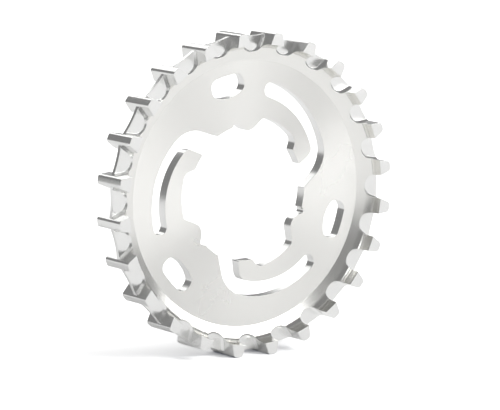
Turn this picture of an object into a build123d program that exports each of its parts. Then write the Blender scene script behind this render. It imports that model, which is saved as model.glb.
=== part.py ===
from build123d import *
import os
from math import cos, pi, radians, sin, sqrt

# Rear sprocket for a toothed bicycle belt, machined from one piece of stainless steel.
# Millimetres. The spin axis is Y, the outer face looks along -Y, and +Z is up.
# The origin is where the spin axis meets the outer face of the plate.

# Belt and tooth ring
tooth_count = 24
belt_pitch = 11.0
pitch_line_above_tip = 0.67
band_front = 5.25
band_back = 5.6
space_depth = 5.5
space_rounding = 3.07
flank_angle = 22.0
tip_rounding = 0.9

# Guide fin that runs in the groove of the belt
fin_thickness = 1.1
fin_front = 0.4
fin_below_tip = 0.72
fin_dip = 0.43
pocket_corner = 0.55

# Plate, and the dished step in front between it and the teeth
plate_thickness = 3.0
face_below_tip = 7.25
shelf_width = 3.9
shelf_rise = 1.46
step_width = 0.2
step_rounding = 2.8

# Seat for a three-lug hub driver
arm_count = 3
first_lug_angle = 90.0
seat_radius = 17.5
lug_height = 1.43
lug_crest_rounding = 3.0
lug_flank_angle = 50.0
lug_relief_offset = 4.5
lug_relief_rounding = 0.85
seat_clearance = 2.13
clearance_rounding = 1.5

# Sprung arms, each freed by one curved slot; angles are measured from the lug beside the arm
slot_width = 3.86
slot_beyond_seat = 4.3
slot_centre_offset = 5.22
slot_centre_angle = -4.7
slot_end_angle = -17.0
mouth_start_angle = -88.8
mouth_direction = -47.3
mouth_rounding = 8.1
arm_preload = 0.37
arm_tip_start_angle = -67.9
arm_tip_end_angle = -53.3
arm_end_direction = -52.6
arm_flank_direction = -18.6
arm_inner_rounding = 0.4
arm_outer_rounding = 2.4
arm_heel_rounding = 0.8
arm_root_rounding = 2.4

# Oblong windows
window_angle = 13.0
window_beyond_seat = 7.7
window_width = 5.7
window_length = 9.8
window_bulge = 1.5
window_rounding = 2.1

# Sizes worked out from the values above
pitch_radius = tooth_count * belt_pitch / (2 * pi)
tip_radius = pitch_radius - pitch_line_above_tip
root_radius = tip_radius - space_depth
tooth_angle = 360 / tooth_count
arm_angle = 360 / arm_count
face_radius = tip_radius - face_below_tip
shelf_radius = face_radius + shelf_width
step_radius = shelf_radius + step_width
lug_crest_radius = seat_radius - lug_height
arm_tip_radius = seat_radius - arm_preload
seat_clearance_radius = seat_radius + seat_clearance
slot_radius = seat_radius + slot_beyond_seat
window_inner_radius = seat_radius + window_beyond_seat
window_outer_radius = window_inner_radius + window_width
cutter_overrun = 1.0


def polar(radius, angle):
    """Point of the XY plane at this radius and this angle in degrees."""
    return Vector(radius * cos(radians(angle)), radius * sin(radians(angle)))


def reach(start, direction, centre, radius):
    """Where a ray from start, pointing at direction in degrees, leaves a circle."""
    along = polar(1, direction)
    offset = start - centre
    half_chord = sqrt(along.dot(offset) ** 2 - offset.dot(offset) + radius**2)
    return start + along * (half_chord - along.dot(offset))


def arc_middle(centre, start, end):
    """Middle of the shorter arc about centre that joins start to end."""
    towards = ((start - centre) + (end - centre)).normalized()
    return centre + towards * (start - centre).length


def nearest(sketch, point, turns):
    """The corners of a sketch nearest to a point and its equally spaced copies."""
    corners = []
    for turn in range(turns):
        place = point.rotate(Axis.Z, turn * 360 / turns)
        corners.append(sketch.vertices().sort_by_distance(place)[0])
    return corners


# One tooth space about the X axis, upper half: round bottom, straight flank, rounded tip
space_centre = Vector(root_radius + space_rounding, 0)
flank_foot = space_centre + polar(space_rounding, 90 + flank_angle)
tip_centre = reach(
    flank_foot + polar(tip_rounding, 90 + flank_angle), flank_angle, Vector(0, 0), tip_radius - tip_rounding
)
flank_top = tip_centre - polar(tip_rounding, 90 + flank_angle)
land_start = tip_centre.normalized() * tip_radius
tip_middle = arc_middle(tip_centre, flank_top, land_start)
fin_edge_radius = tip_radius - fin_below_tip
fin_end = reach(flank_foot, flank_angle, Vector(0, 0), fin_edge_radius)
rim_half = [fin_end, flank_top, tip_middle, land_start]


def pocket_cutter(floor, depth):
    """Milling cut for one tooth space on one side of the fin; a positive depth is in front."""
    flank_end = reach(flank_foot, flank_angle, Vector(0, 0), tip_radius + 2 * cutter_overrun)
    low_end = Vector(flank_end.X, -flank_end.Y)
    low_foot = Vector(flank_foot.X, -flank_foot.Y)
    with BuildPart() as cut:
        with BuildSketch(Plane.XZ.offset(floor)):
            with BuildLine():
                Line(low_end, low_foot)
                ThreePointArc(low_foot, (root_radius, 0), flank_foot)
                Polyline(flank_foot, flank_end, low_end)
            make_face()
        extrude(amount=depth)
    return cut.part


# The cut behind the fin is square; the one in front leaves a sloping corner round the fin's face
fin_back = fin_front - fin_thickness
back_cutter = pocket_cutter(fin_back, -(band_back + fin_back + cutter_overrun))
front_cutter = pocket_cutter(fin_front, band_front - fin_front + cutter_overrun)
front_floor = front_cutter.faces().sort_by(Axis.Y)[-1]
front_cutter = chamfer(front_floor.edges(), pocket_corner)

# Turned blank: flat plate with a shallow shelf in front, and a wall on each side up to the teeth
section_plane = Plane(origin=(0, 0, 0), x_dir=(1, 0, 0), z_dir=(0, 0, -1))
blank_radius = tip_radius + cutter_overrun
with BuildPart() as sprocket:
    with BuildSketch(section_plane) as section:
        with BuildLine():
            Polyline(
                (0, 0),
                (face_radius, 0),
                (shelf_radius, shelf_rise),
                (step_radius, band_front),
                (blank_radius, band_front),
                (blank_radius, -band_back),
                (step_radius, -band_back),
                (shelf_radius, -plate_thickness),
                (0, -plate_thickness),
                close=True,
            )
        make_face()
        step_foot = section.vertices().sort_by_distance((shelf_radius, shelf_rise))[0]
        fillet(step_foot, step_rounding)
    revolve(axis=Axis.Y)

    # Rim: rounded tooth tips, and between them the dipped edge that the fin keeps
    with BuildSketch(Plane.XZ.offset(band_front + cutter_overrun)) as rim_outline:
        with BuildLine():
            for tooth in range(tooth_count):
                turn = tooth * tooth_angle
                end, top, middle, land = [p.rotate(Axis.Z, turn) for p in rim_half]
                low = [Vector(p.X, -p.Y).rotate(Axis.Z, turn) for p in rim_half]
                low_end, low_top, low_middle, low_land = low
                next_land = low_land.rotate(Axis.Z, tooth_angle)
                ThreePointArc(low_land, low_middle, low_top)
                Line(low_top, low_end)
                ThreePointArc(low_end, polar(fin_edge_radius - fin_dip, turn), end)
                Line(end, top)
                ThreePointArc(top, middle, land)
                ThreePointArc(land, polar(tip_radius, turn + tooth_angle / 2), next_land)
        make_face()
    extrude(amount=-(band_front + band_back + 2 * cutter_overrun), mode=Mode.INTERSECT)

    # Tooth spaces: milled from the front and from the back, which leaves the fin between them
    for tooth in range(tooth_count):
        turn = -tooth * tooth_angle
        cuts = [front_cutter.rotate(Axis.Y, turn), back_cutter.rotate(Axis.Y, turn)]
        add(cuts, mode=Mode.SUBTRACT)

    # Opening: hub seat with three lugs, and the slots that free the three arms
    slot_centre = polar(slot_centre_offset, first_lug_angle + slot_centre_angle)
    slot_inner = slot_radius - slot_width / 2
    slot_outer = slot_radius + slot_width / 2
    slot_end = first_lug_angle + slot_end_angle
    mouth_start = polar(seat_radius, first_lug_angle + mouth_start_angle)
    mouth_corner = reach(mouth_start, first_lug_angle + mouth_direction, slot_centre, slot_outer)
    outer_end = slot_centre + polar(slot_outer, slot_end)
    inner_end = slot_centre + polar(slot_inner, slot_end)
    closed_end = slot_centre + polar(slot_radius, slot_end) + polar(slot_width / 2, slot_end + 90)
    arm_toe = polar(arm_tip_radius, first_lug_angle + arm_tip_start_angle)
    arm_shoulder = reach(arm_toe, first_lug_angle + arm_end_direction, slot_centre, slot_inner)
    arm_heel = polar(arm_tip_radius, first_lug_angle + arm_tip_end_angle)
    arm_root = reach(arm_heel, first_lug_angle + arm_flank_direction, Vector(0, 0), seat_clearance_radius)
    lug_apex_radius = lug_crest_radius + lug_crest_rounding * (1 - 1 / sin(radians(lug_flank_angle)))
    lug_apex = polar(lug_apex_radius, first_lug_angle)
    lug_foot = reach(lug_apex, first_lug_angle - lug_flank_angle, Vector(0, 0), seat_clearance_radius)
    relief_length = lug_relief_offset / sin(radians(lug_flank_angle))
    relief_corner = lug_apex + polar(relief_length, first_lug_angle + lug_flank_angle)
    relief_depth = sqrt(seat_radius**2 - lug_relief_offset**2)
    relief_end = polar(relief_depth, first_lug_angle) + polar(lug_relief_offset, first_lug_angle + 90)
    mouth_next = mouth_start.rotate(Axis.Z, arm_angle)
    with BuildSketch(Plane.XZ) as opening:
        with BuildLine():
            for arm in range(arm_count):
                turn = arm * arm_angle
                centre = slot_centre.rotate(Axis.Z, turn)
                corners = [
                    p.rotate(Axis.Z, turn)
                    for p in (mouth_start, mouth_corner, outer_end, closed_end, inner_end, arm_shoulder)
                ]
                start, corner, outer, closed, inner, shoulder = corners
                Line(start, corner)
                ThreePointArc(corner, arc_middle(centre, corner, outer), outer)
                ThreePointArc(outer, closed, inner)
                ThreePointArc(inner, arc_middle(centre, inner, shoulder), shoulder)
                corners = [
                    p.rotate(Axis.Z, turn)
                    for p in (arm_toe, arm_heel, arm_root, lug_foot, lug_apex, relief_corner, relief_end, mouth_next)
                ]
                toe, heel, root, foot, apex, relief, land, last = corners
                hub = Vector(0, 0)
                Line(shoulder, toe)
                ThreePointArc(toe, arc_middle(hub, toe, heel), heel)
                Line(heel, root)
                ThreePointArc(root, arc_middle(hub, root, foot), foot)
                Polyline(foot, apex, relief, land)
                ThreePointArc(land, arc_middle(hub, land, last), last)
        make_face()
        for point, rounding in (
            (mouth_corner, mouth_rounding),
            (arm_shoulder, arm_outer_rounding),
            (arm_toe, arm_inner_rounding),
            (arm_heel, arm_heel_rounding),
            (arm_root, arm_root_rounding),
            (lug_foot, clearance_rounding),
            (lug_apex, lug_crest_rounding),
            (relief_corner, lug_relief_rounding),
        ):
            fillet(nearest(opening, point, arm_count), rounding)
    extrude(amount=-plate_thickness, mode=Mode.SUBTRACT)

    # Windows: oblong holes through the plate, outer side concentric with the plate
    with BuildSketch(mode=Mode.PRIVATE) as window:
        half = window_length / 2
        outer_depth = sqrt(window_outer_radius**2 - half**2)
        inner_depth = window_inner_radius + window_bulge
        with BuildLine():
            ThreePointArc((outer_depth, -half), (window_outer_radius, 0), (outer_depth, half))
            Line((outer_depth, half), (inner_depth, half))
            ThreePointArc((inner_depth, half), (window_inner_radius, 0), (inner_depth, -half))
            Line((inner_depth, -half), (outer_depth, -half))
        make_face()
        fillet(window.vertices(), window_rounding)
    with BuildSketch(Plane.XZ) as windows:
        with PolarLocations(0, arm_count, start_angle=first_lug_angle + window_angle):
            add(window.sketch)
    extrude(amount=-plate_thickness, mode=Mode.SUBTRACT)

sprocket.part.label = "belt_sprocket"
os.makedirs("parts", exist_ok=True)
export_step(sprocket.part, "parts/belt_sprocket.step")
print("belt_sprocket volume", round(sprocket.part.volume), "mm3")
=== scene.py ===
# %% [markdown]
# # A rear sprocket for a toothed bicycle belt
#
# The real part is a ring of belt teeth round a thin plate, turned and milled from one piece of
# stainless steel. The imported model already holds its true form, so this lesson is about the other
# half of a good picture: clean edges, the finish that each cutting tool leaves, and a studio that
# gives bare metal something to mirror.
#
# Everything is in metres. The spin axis is Y, the outer face looks along -Y, and +Z is up.

# %% Load the frame
import math

import bmesh
import bpy
from mathutils import Matrix, Vector


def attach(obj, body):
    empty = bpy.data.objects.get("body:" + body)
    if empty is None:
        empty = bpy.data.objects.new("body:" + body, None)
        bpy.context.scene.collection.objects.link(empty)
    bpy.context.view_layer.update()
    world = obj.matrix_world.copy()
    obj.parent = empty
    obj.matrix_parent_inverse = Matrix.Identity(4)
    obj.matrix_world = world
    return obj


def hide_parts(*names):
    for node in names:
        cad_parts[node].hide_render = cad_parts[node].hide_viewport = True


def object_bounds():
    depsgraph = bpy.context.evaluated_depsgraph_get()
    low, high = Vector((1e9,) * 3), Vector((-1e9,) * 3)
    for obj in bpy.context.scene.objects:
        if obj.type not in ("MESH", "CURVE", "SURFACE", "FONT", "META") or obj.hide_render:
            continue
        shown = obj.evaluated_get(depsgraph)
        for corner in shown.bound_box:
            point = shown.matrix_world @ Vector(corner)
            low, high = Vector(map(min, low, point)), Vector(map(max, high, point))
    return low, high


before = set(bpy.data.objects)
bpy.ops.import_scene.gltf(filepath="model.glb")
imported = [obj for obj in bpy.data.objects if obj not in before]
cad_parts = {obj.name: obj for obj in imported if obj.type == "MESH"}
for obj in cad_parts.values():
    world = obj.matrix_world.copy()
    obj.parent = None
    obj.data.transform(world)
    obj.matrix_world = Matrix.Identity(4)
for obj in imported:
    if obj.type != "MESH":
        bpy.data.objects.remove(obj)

cad_low, cad_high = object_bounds()
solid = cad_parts["belt_sprocket"]
print("CAD box from", tuple(cad_low), "to", tuple(cad_high))
print("triangles in the solid:", len(solid.data.polygons))

# %% [markdown]
# ## The camera
#
# A long lens flattens the circle into a clean ellipse. The camera was fitted to the photograph: it
# stands on the left and a little above, about 0.85 m away. So its place is given as an azimuth, an
# elevation and a distance, with a small roll.

# %% Where the camera stands
camera_azimuth = math.radians(-33.90)
camera_elevation = math.radians(7.59)
camera_roll = math.radians(1.03)
camera_distance = 0.847
back = Vector((
    math.sin(camera_azimuth) * math.cos(camera_elevation),
    -math.cos(camera_azimuth) * math.cos(camera_elevation),
    math.sin(camera_elevation),
))
print("the camera looks from", tuple(round(v, 3) for v in back))

# %% [markdown]
# The sprocket doesn't sit in the middle of the picture. A lens shift moves the frame without turning
# the camera, so the perspective stays as it was. The lens and its shift were fitted in pixels.

# %% Make the camera
image_width = 500
focal_pixels = 3340
shift_right = 2.9
shift_up = -11.7
sensor_width = 36

camera_data = bpy.data.cameras.new("studio_camera")
camera_data.sensor_width = sensor_width
camera_data.lens = sensor_width * focal_pixels / image_width
camera_data.shift_x = shift_right / image_width
camera_data.shift_y = shift_up / image_width
camera_data.clip_start = 0.01
camera_data.clip_end = 50
camera = bpy.data.objects.new("studio_camera", camera_data)
bpy.context.scene.collection.objects.link(camera)
camera.rotation_mode = "QUATERNION"
camera.location = back * camera_distance
aim = (-back).to_track_quat("-Z", "Y")
camera.rotation_quaternion = aim @ Matrix.Rotation(camera_roll, 4, "Z").to_quaternion()
bpy.context.scene.camera = camera
print("lens", round(camera_data.lens, 1), "mm, camera at", tuple(round(v, 3) for v in camera.location))

# %% [markdown]
# ## Clean edges
#
# A CAD mesh comes as loose triangles. On a copy, the triangles are joined and flat areas are merged
# into whole faces. The curves turn by less than 10 degrees from facet to facet, and every true edge
# by more than 20, so edges above 16 degrees are the ones that stay crisp.

# %% Join the triangles
join_distance = 1e-6
flat_angle = math.radians(0.3)
work = bmesh.new()
work.from_mesh(solid.data)
bmesh.ops.remove_doubles(work, verts=work.verts, dist=join_distance)
bmesh.ops.dissolve_limit(work, angle_limit=flat_angle, verts=work.verts, edges=work.edges)
points = [vertex.co.copy() for vertex in work.verts]
faces = [[vertex.index for vertex in face.verts] for face in work.faces]
work.free()
print("joined:", len(points), "points in", len(faces), "faces")

# %% A mesh with crisp edges
sharp_angle = math.radians(16)
body_mesh = bpy.data.meshes.new("sprocket_body")
body_mesh.from_pydata(points, [], faces)
for polygon in body_mesh.polygons:
    polygon.use_smooth = True
body_mesh.set_sharp_from_angle(angle=sharp_angle)
sprocket = bpy.data.objects.new("sprocket_body", body_mesh)
bpy.context.scene.collection.objects.link(sprocket)
print(sprocket.name, "has", len(body_mesh.edges), "edges")

# %% [markdown]
# ## Broken edges
#
# Nobody hands over a sprocket with knife edges: each edge gets a tiny rounding, and that catches the
# light. A Bevel modifier does the same to every edge above the same angle.
# Hardened normals keep the flats flat, so that only the rounding itself shades.

# %% Round the edges
edge_rounding = 0.0002
rounding = sprocket.modifiers.new("edge_rounding", "BEVEL")
rounding.limit_method = "ANGLE"
rounding.angle_limit = sharp_angle
rounding.width = edge_rounding
rounding.segments = 2
rounding.use_clamp_overlap = True
rounding.harden_normals = True
rounding.miter_outer = "MITER_ARC"
print("edges rounded by", edge_rounding * 1000, "mm")

# %% [markdown]
# ## Which tool cut which face
#
# The plate, its shelf and the dished wall were turned on a lathe. The tooth spaces, the fin and the
# openings were milled. Each face of the mesh tells which it is by its place and by where it looks,
# so it gets one of three finishes: 0 is the turned plate, 1 is milled, and 2 is the dish, turned
# smoother. With the plate's finish the fronts of the teeth clipped to white here, so they go with
# the milled faces.

# %% Sort the faces
turned = 0
milled = 1
dished = 2
plate_edge = 0.034
shelf_edge = 0.0385
fin_zone = 0.0355
fin_reach = 0.0015
facing_limit = 0.9
leaning_limit = 0.2
counts = {turned: 0, milled: 0, dished: 0}
for polygon in body_mesh.polygons:
    centre = polygon.center
    distance = math.hypot(centre.x, centre.z)
    inward = -(polygon.normal.x * centre.x + polygon.normal.z * centre.z) / distance
    faces_out = abs(polygon.normal.y) > facing_limit
    is_fin = distance > fin_zone and abs(centre.y) < fin_reach
    if distance > plate_edge and inward > leaning_limit:
        polygon.material_index = dished
    elif faces_out and distance < shelf_edge and not is_fin:
        polygon.material_index = turned
    else:
        polygon.material_index = milled
    counts[polygon.material_index] += 1
print("turned:", counts[turned], "milled:", counts[milled], "dished:", counts[dished])

# %% [markdown]
# ## Tool marks
#
# A lathe leaves fine rings about the spin axis. Too fine to see one by one, they still bend the
# light: each point spreads its reflection along the radius, which gives a turned face its bright
# fans. The shader does the same with anisotropy and a tangent that runs round the axis.
#
# A node group makes the rings and a slightly uneven tone, from object coordinates, so that they
# stay put on the part. All three finishes use it. First come the group's sockets.

# %% The group's sockets
marks = bpy.data.node_groups.new("lathe_marks", "ShaderNodeTree")
marks.interface.new_socket("Position", in_out="INPUT", socket_type="NodeSocketVector")
marks_inputs = (
    ("Rings per metre", 6000.0),
    ("Depth", 0.35),
    ("Smudge", 0.06),
    ("Along axis", 0.0),
)
for label, value in marks_inputs:
    socket = marks.interface.new_socket(label, in_out="INPUT", socket_type="NodeSocketFloat")
    socket.default_value = value
for label in ("Height", "Roughness", "Tone"):
    marks.interface.new_socket(label, in_out="OUTPUT", socket_type="NodeSocketFloat")
print("lathe_marks has", len(marks.interface.items_tree), "sockets")

# %% [markdown]
# The rings are noise along one line: the distance from the axis, and on the dish the way along the
# axis as well. The smudges are noise in space, like the marks of hands. They change the tone a
# little, and on the plate the roughness.

# %% The group's nodes


def add(tree, kind, **settings):
    """A new node with its settings, to keep the wiring readable."""
    node = tree.nodes.new(kind)
    for name, value in settings.items():
        setattr(node, name, value)
    return node


smudges_per_metre = 60
smoothest = 0.255
roughest = 0.285
darkest_tone = 0.94
inside = add(marks, "NodeGroupInput")
outside = add(marks, "NodeGroupOutput")
flat = add(marks, "ShaderNodeVectorMath", operation="MULTIPLY")
flat.inputs[1].default_value = (1, 0, 1)
radius = add(marks, "ShaderNodeVectorMath", operation="LENGTH")
depth_of = add(marks, "ShaderNodeSeparateXYZ")
profile = add(marks, "ShaderNodeMath", operation="MULTIPLY_ADD")
ring_place = add(marks, "ShaderNodeMath", operation="MULTIPLY")
rings = add(marks, "ShaderNodeTexNoise", noise_dimensions="1D")
rings.inputs["Scale"].default_value = 1
rings.inputs["Detail"].default_value = 3
rings.inputs["Roughness"].default_value = 0.7
smudges = add(marks, "ShaderNodeTexNoise", noise_dimensions="3D")
smudges.inputs["Scale"].default_value = smudges_per_metre
smudges.inputs["Detail"].default_value = 4
height = add(marks, "ShaderNodeMath", operation="MULTIPLY")
rough = add(marks, "ShaderNodeMapRange")
rough.inputs["To Min"].default_value = smoothest
rough.inputs["To Max"].default_value = roughest
tone = add(marks, "ShaderNodeMath", operation="MULTIPLY_ADD")
tone.inputs[2].default_value = darkest_tone
print("lathe_marks has", len(marks.nodes), "nodes")

# %% Wire the group
link = marks.links.new
link(inside.outputs["Position"], flat.inputs[0])
link(flat.outputs[0], radius.inputs[0])
link(inside.outputs["Position"], depth_of.inputs[0])
link(depth_of.outputs["Y"], profile.inputs[0])
link(inside.outputs["Along axis"], profile.inputs[1])
link(radius.outputs["Value"], profile.inputs[2])
link(profile.outputs[0], ring_place.inputs[0])
link(inside.outputs["Rings per metre"], ring_place.inputs[1])
link(ring_place.outputs[0], rings.inputs["W"])
link(inside.outputs["Position"], smudges.inputs["Vector"])
link(rings.outputs["Fac"], height.inputs[0])
link(inside.outputs["Depth"], height.inputs[1])
link(height.outputs[0], outside.inputs["Height"])
link(smudges.outputs["Fac"], rough.inputs["Value"])
link(rough.outputs[0], outside.inputs["Roughness"])
link(smudges.outputs["Fac"], tone.inputs[0])
link(inside.outputs["Smudge"], tone.inputs[1])
link(tone.outputs[0], outside.inputs["Tone"])
print("lathe_marks has", len(marks.links), "links")

# %% [markdown]
# ## A steel for each tool
#
# The three finishes share one recipe: bare metal whose tone and relief come from the group. It is
# written once, and so is the tangent that stretches a highlight. What differs is set per finish.

# %% The shared recipe
relief_height = 0.00002


def bare_steel(name, tint, rings_per_metre, depth, bump):
    """Bare metal with tool marks; the caller sets the roughness."""
    material = bpy.data.materials.new(name)
    material.use_nodes = True
    tree = material.node_tree
    shader = tree.nodes["Principled BSDF"]
    shader.inputs["Metallic"].default_value = 1.0
    place = add(tree, "ShaderNodeTexCoord")
    cut = add(tree, "ShaderNodeGroup", node_tree=marks)
    cut.inputs["Rings per metre"].default_value = rings_per_metre
    cut.inputs["Depth"].default_value = depth
    colour = add(tree, "ShaderNodeMix", data_type="RGBA", blend_type="MULTIPLY")
    colour.inputs["Factor"].default_value = 1.0
    colour.inputs["A"].default_value = (*tint, 1)
    relief = add(tree, "ShaderNodeBump")
    relief.inputs["Strength"].default_value = bump
    relief.inputs["Distance"].default_value = relief_height
    link = tree.links.new
    link(place.outputs["Object"], cut.inputs["Position"])
    link(cut.outputs["Tone"], colour.inputs["B"])
    link(colour.outputs["Result"], shader.inputs["Base Color"])
    link(cut.outputs["Height"], relief.inputs["Height"])
    link(relief.outputs[0], shader.inputs["Normal"])
    return material, shader, cut


def brushed_round(material, shader, anisotropy):
    """Stretch the highlights across the rings, as turning does."""
    tree = material.node_tree
    shader.inputs["Anisotropic"].default_value = anisotropy
    place = add(tree, "ShaderNodeTexCoord")
    tangent = add(tree, "ShaderNodeVectorMath", operation="CROSS_PRODUCT")
    tangent.inputs[0].default_value = (0, 1, 0)
    tree.links.new(place.outputs["Object"], tangent.inputs[1])
    tree.links.new(tangent.outputs[0], shader.inputs["Tangent"])


# %% [markdown]
# The plate is brushed the most. Its highlight is stretched almost into a line, so a lamp shows as a
# fan through the middle of the sprocket instead of as a spot.

# %% Turned steel
turned_tint = (0.89, 0.885, 0.86)
turned_steel, shader, cut = bare_steel(
    "turned_steel",
    turned_tint,
    rings_per_metre=6000.0,
    depth=0.35,
    bump=0.25,
)
brushed_round(turned_steel, shader, anisotropy=0.88)
tree = turned_steel.node_tree
tree.links.new(cut.outputs["Roughness"], shader.inputs["Roughness"])
print(turned_steel.name, "has", len(tree.nodes), "nodes")

# %% [markdown]
# The dish climbs along the axis as well as outwards, so its rings are counted along both. They lie
# wider apart, and between them the steel is smoother than on the plate, so it mirrors the lamps as
# bands that follow its rounding.

# %% Dished steel
dished_steel, shader, cut = bare_steel(
    "dished_steel",
    turned_tint,
    rings_per_metre=2200.0,
    depth=0.5,
    bump=0.3,
)
brushed_round(dished_steel, shader, anisotropy=0.6)
cut.inputs["Along axis"].default_value = 1.0
shader.inputs["Roughness"].default_value = 0.2
print(dished_steel.name, "has", len(dished_steel.node_tree.nodes), "nodes")

# %% [markdown]
# The milled faces show hardly any marks, and they spread light evenly in every direction. They use
# the group for their tone and a faint relief, without the stretch.

# %% Milled steel
milled_tint = (0.88, 0.88, 0.87)
milled_steel, shader, cut = bare_steel(
    "milled_steel",
    milled_tint,
    rings_per_metre=2500.0,
    depth=0.3,
    bump=0.25,
)
shader.inputs["Roughness"].default_value = 0.24
print(milled_steel.name, "has", len(milled_steel.node_tree.nodes), "nodes")

# %% [markdown]
# The finishes go on the mesh in the order of the numbers above: turned, milled, dished. The mesh
# then takes the solid's place, and the solid itself gets the turned steel.

# %% Dress the sprocket
for finish in (turned_steel, milled_steel, dished_steel):
    sprocket.data.materials.append(finish)
solid.data.materials.clear()
solid.data.materials.append(turned_steel)
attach(sprocket, "root")
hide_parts("belt_sprocket")
print("finishes:", [finish.name for finish in sprocket.data.materials])

# %% [markdown]
# ## The studio
#
# Bare metal has hardly any colour of its own: it shows the room. The room here is a white floor
# under a dark ceiling, so that walls which look down shine and walls which look up turn dark. Soft
# lights break the dark, each with its own task.

# %% Floor
floor_reach = 6.0
corners = ((-1, -1), (1, -1), (1, 1), (-1, 1))
floor_points = [(x * floor_reach, y * floor_reach, cad_low.z) for x, y in corners]
floor_mesh = bpy.data.meshes.new("floor")
floor_mesh.from_pydata(floor_points, [], [(0, 1, 2, 3)])
floor = bpy.data.objects.new("floor", floor_mesh)
bpy.context.scene.collection.objects.link(floor)
print("floor at z =", round(cad_low.z, 4))

# %% [markdown]
# The paper must be white in the picture and still keep the sprocket's shadow. Its matt colour carries
# the shadow, and a glow that is there for the camera lifts it to white. Where the sprocket stands
# close over the paper, hardly any sky is open, and there an ambient occlusion node darkens the glow's
# colour to a bluish painted shadow. The steel mirrors the same paper with only a trace of the glow,
# which carries the same painted shadow.

# %% The paper's nodes
paper_white = (0.85, 0.85, 0.85, 1)
glow_white = (1, 1, 1, 1)
seen_glow = 0.62
mirrored_glow = 0.08
painted_shadow_reach = 0.06
painted_shadow_colour = (0.0, 0.01, 0.04, 1)
paper = bpy.data.materials.new("white_paper")
paper.use_nodes = True
tree = paper.node_tree
tree.nodes.clear()
seen = add(tree, "ShaderNodeLightPath")
dull = add(tree, "ShaderNodeBsdfDiffuse")
dull.inputs["Color"].default_value = paper_white
glow = add(tree, "ShaderNodeEmission")
# The ambient occlusion node is the mask for the painted contact shadow in the glow.
painted_shadow_mask = add(tree, "ShaderNodeAmbientOcclusion", samples=8)
painted_shadow_mask.inputs["Distance"].default_value = painted_shadow_reach
shade = add(tree, "ShaderNodeMix", data_type="RGBA")
shade.inputs["A"].default_value = painted_shadow_colour
shade.inputs["B"].default_value = glow_white
both = add(tree, "ShaderNodeAddShader")
seen_level = add(tree, "ShaderNodeMath", operation="MULTIPLY")
seen_level.inputs[1].default_value = seen_glow
mirrored_level = add(tree, "ShaderNodeMath", operation="MULTIPLY")
mirrored_level.inputs[1].default_value = mirrored_glow
amount = add(tree, "ShaderNodeMath", operation="MAXIMUM")
surface = add(tree, "ShaderNodeOutputMaterial")
print("paper has", len(tree.nodes), "nodes")

# %% Wire the paper
link = tree.links.new
link(seen.outputs["Is Camera Ray"], seen_level.inputs[0])
link(seen.outputs["Is Glossy Ray"], mirrored_level.inputs[0])
link(seen_level.outputs[0], amount.inputs[0])
link(mirrored_level.outputs[0], amount.inputs[1])
link(amount.outputs[0], glow.inputs["Strength"])
# Painted shadow: the glow's colour turns bluish dark where the ambient occlusion is low.
link(painted_shadow_mask.outputs["AO"], shade.inputs["Factor"])
link(shade.outputs["Result"], glow.inputs["Color"])
link(dull.outputs[0], both.inputs[0])
link(glow.outputs[0], both.inputs[1])
link(both.outputs[0], surface.inputs["Surface"])
floor.data.materials.append(paper)
print("paper has", len(tree.links), "links")

# %% [markdown]
# The room itself is dim grey for the steel, and white for the camera. The dim part is what the plate
# shows between its fans, and what the dish shows where it looks up.

# %% Room
room_level = 0.3
world = bpy.data.worlds.new("studio")
bpy.context.scene.world = world
world.use_nodes = True
tree = world.node_tree
tree.nodes.clear()
seen = add(tree, "ShaderNodeLightPath")
level = add(tree, "ShaderNodeMath", operation="MAXIMUM")
level.inputs[0].default_value = room_level
room = add(tree, "ShaderNodeBackground")
surface = add(tree, "ShaderNodeOutputWorld")
link = tree.links.new
link(seen.outputs["Is Camera Ray"], level.inputs[1])
link(level.outputs[0], room.inputs["Strength"])
link(room.outputs[0], surface.inputs["Surface"])
print("ceiling strength", room_level)

# %% [markdown]
# ## Soft lights
#
# The large key in front, on the right, makes the fans at the plate's left and right, and the bright
# paper fills those above and below.

# %% Key light


def softbox(name, azimuth, elevation, distance, width, height, power):
    """A rectangular lamp that faces the sprocket; azimuth 0 is in front, 90 on the right."""
    a = math.radians(azimuth)
    e = math.radians(elevation)
    away = Vector((math.sin(a) * math.cos(e), -math.cos(a) * math.cos(e), math.sin(e)))
    data = bpy.data.lights.new(name, "AREA")
    data.shape = "RECTANGLE"
    data.size = width
    data.size_y = height
    data.energy = power
    lamp = bpy.data.objects.new(name, data)
    bpy.context.scene.collection.objects.link(lamp)
    lamp.location = away * distance
    lamp.rotation_euler = (-away).to_track_quat("-Z", "Y").to_euler()
    print(name, "radiance", round(power / (math.pi * width * height), 2))
    return lamp


softbox(
    "key_light",
    azimuth=40,
    elevation=28,
    distance=4.0,
    width=3.0,
    height=2.5,
    power=66.0,
)

# %% [markdown]
# A small light on the left draws the stripe along the rounding of the dish. One high up behind
# lights the backs of the teeth.

# %% Side and back light
softbox(
    "side_light",
    azimuth=-70,
    elevation=38,
    distance=1.2,
    width=0.35,
    height=0.4,
    power=1.2,
)
softbox(
    "back_light",
    azimuth=158,
    elevation=40,
    distance=1.3,
    width=1.2,
    height=0.7,
    power=3.6,
)

# %% [markdown]
# The last light is for the paper alone: the steel doesn't mirror it. It stands far off, so that the
# paper is as bright on the far side of the sprocket as on the near side.

# %% Floor light
floor_light = softbox(
    "floor_light",
    azimuth=40,
    elevation=38,
    distance=6.0,
    width=4.5,
    height=3.7,
    power=285.0,
)
floor_light.visible_glossy = False

# %% Plain colour view
scene = bpy.context.scene
scene.view_settings.view_transform = "Standard"
